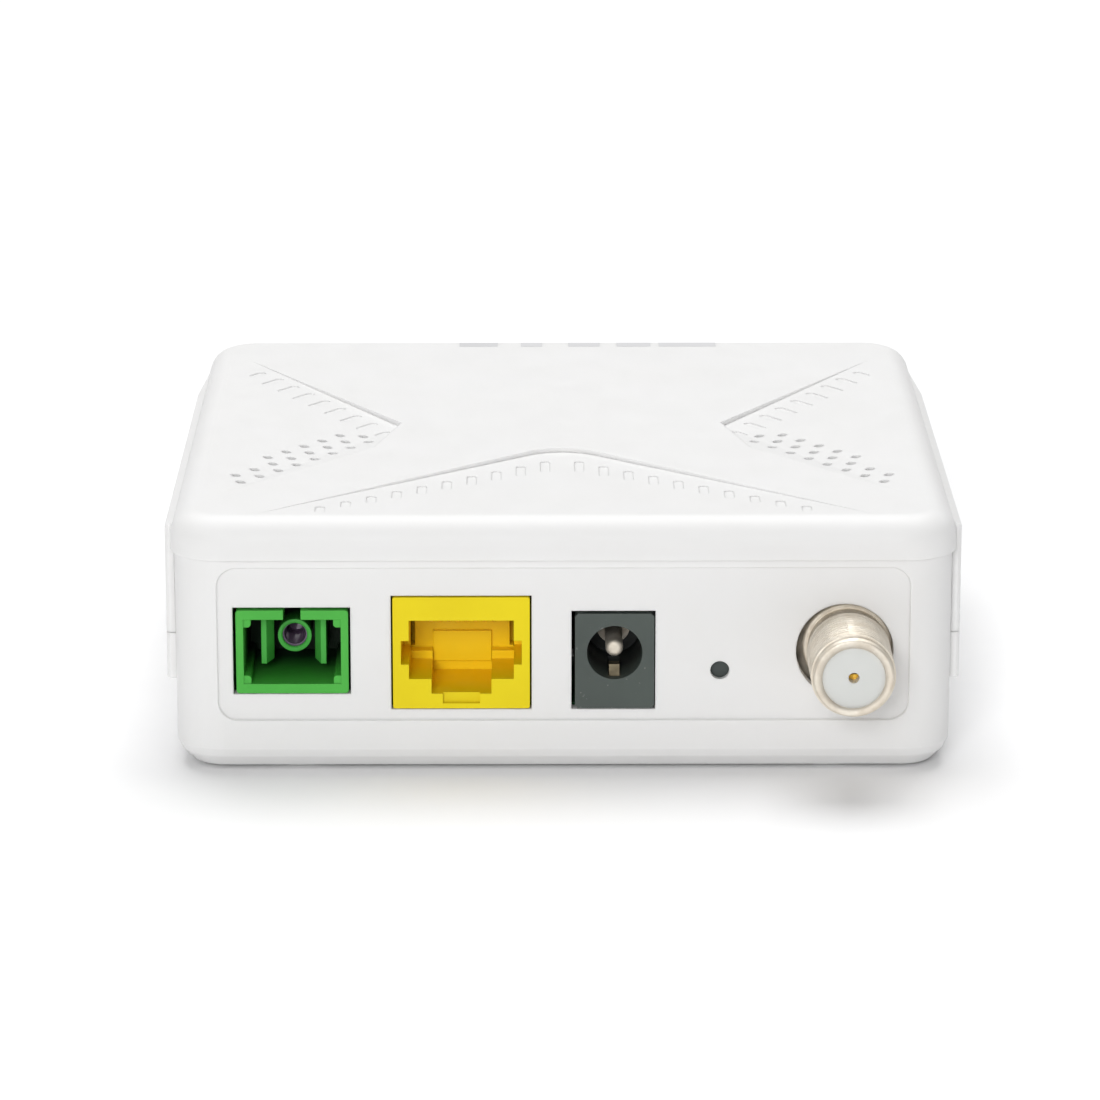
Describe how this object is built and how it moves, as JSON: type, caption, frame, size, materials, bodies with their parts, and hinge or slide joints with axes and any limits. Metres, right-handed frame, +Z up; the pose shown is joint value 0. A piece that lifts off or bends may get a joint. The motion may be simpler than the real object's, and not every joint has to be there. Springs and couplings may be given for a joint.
{
  "type": "optical network terminal",
  "caption": "Small white box with a square fibre port, an Ethernet socket, a barrel power jack, a pin-hole reset and a screw-on coaxial port in one row.",
  "frame": {"origin": "centre of the lower case outline on the plane the feet stand on", "axes": "+X along the port row, to the right when the ports face the viewer; -Y out of the port face; +Z up"},
  "size_m": [0.0908, 0.0989, 0.03],
  "materials": {
    "case_white": "glossy moulded plastic",
    "fibre_green": "satin moulded plastic",
    "ethernet_yellow": "satin moulded plastic",
    "power_grey": "matt moulded plastic",
    "black_plastic": "matt moulded plastic",
    "button_grey": "matt moulded plastic",
    "pale_insulator": "smooth pale plastic",
    "clear_plastic": "clear polished plastic",
    "ceramic": "polished ceramic",
    "nickel": "nickel plate",
    "gold": "gold plate",
    "spring_metal": "bare copper alloy",
    "steel": "bright steel",
    "tin_plate": "tin plate",
    "heat_sink_metal": "black anodised",
    "can_metal": "bright sleeve",
    "board_green": "solder mask",
    "package_black": "matt moulding compound",
    "lamp": "clear resin",
    "pad_grey": "soft pad",
    "print_grey": "flat printed ink"
  },
  "bodies": {
    "terminal": {"bottom_case": "case_white", "top_cover": "case_white", "case_screws": "steel", "main_board": "board_green", "board_screws": "steel", "fibre_housing": "fibre_green", "fibre_latch": "fibre_green", "alignment_sleeve": "ceramic", "stub_ferrule": "ceramic", "optical_module": "nickel", "optical_cans": "gold", "optical_leads": "gold", "ethernet_housing": "ethernet_yellow", "ethernet_block": "ethernet_yellow", "ethernet_contacts": "gold", "power_housing": "power_grey", "power_pin": "nickel", "power_spring": "spring_metal", "power_side_contact": "spring_metal", "switch_body": "black_plastic", "switch_cover": "steel", "switch_dome": "steel", "coax_body": "nickel", "coax_insulator": "pale_insulator", "coax_contact": "gold", "status_lamps": "lamp", "light_guide": "clear_plastic", "processor": "package_black", "thermal_pad": "pad_grey", "heat_sink": "heat_sink_metal", "memory_chip": "package_black", "flash_chip": "package_black", "line_transformer": "package_black", "clock_crystal": "tin_plate", "capacitors": "can_metal", "inductors": "package_black", "shield_can": "tin_plate"},
    "button": {"reset_button": "button_grey"}
  },
  "joints": [
    {"name": "reset_press", "type": "slide", "parent": "terminal", "child": "button", "axis": [0, 1, 0], "range_m": [0, 0.00025], "stiffness_N_per_m": 4}
  ]
}
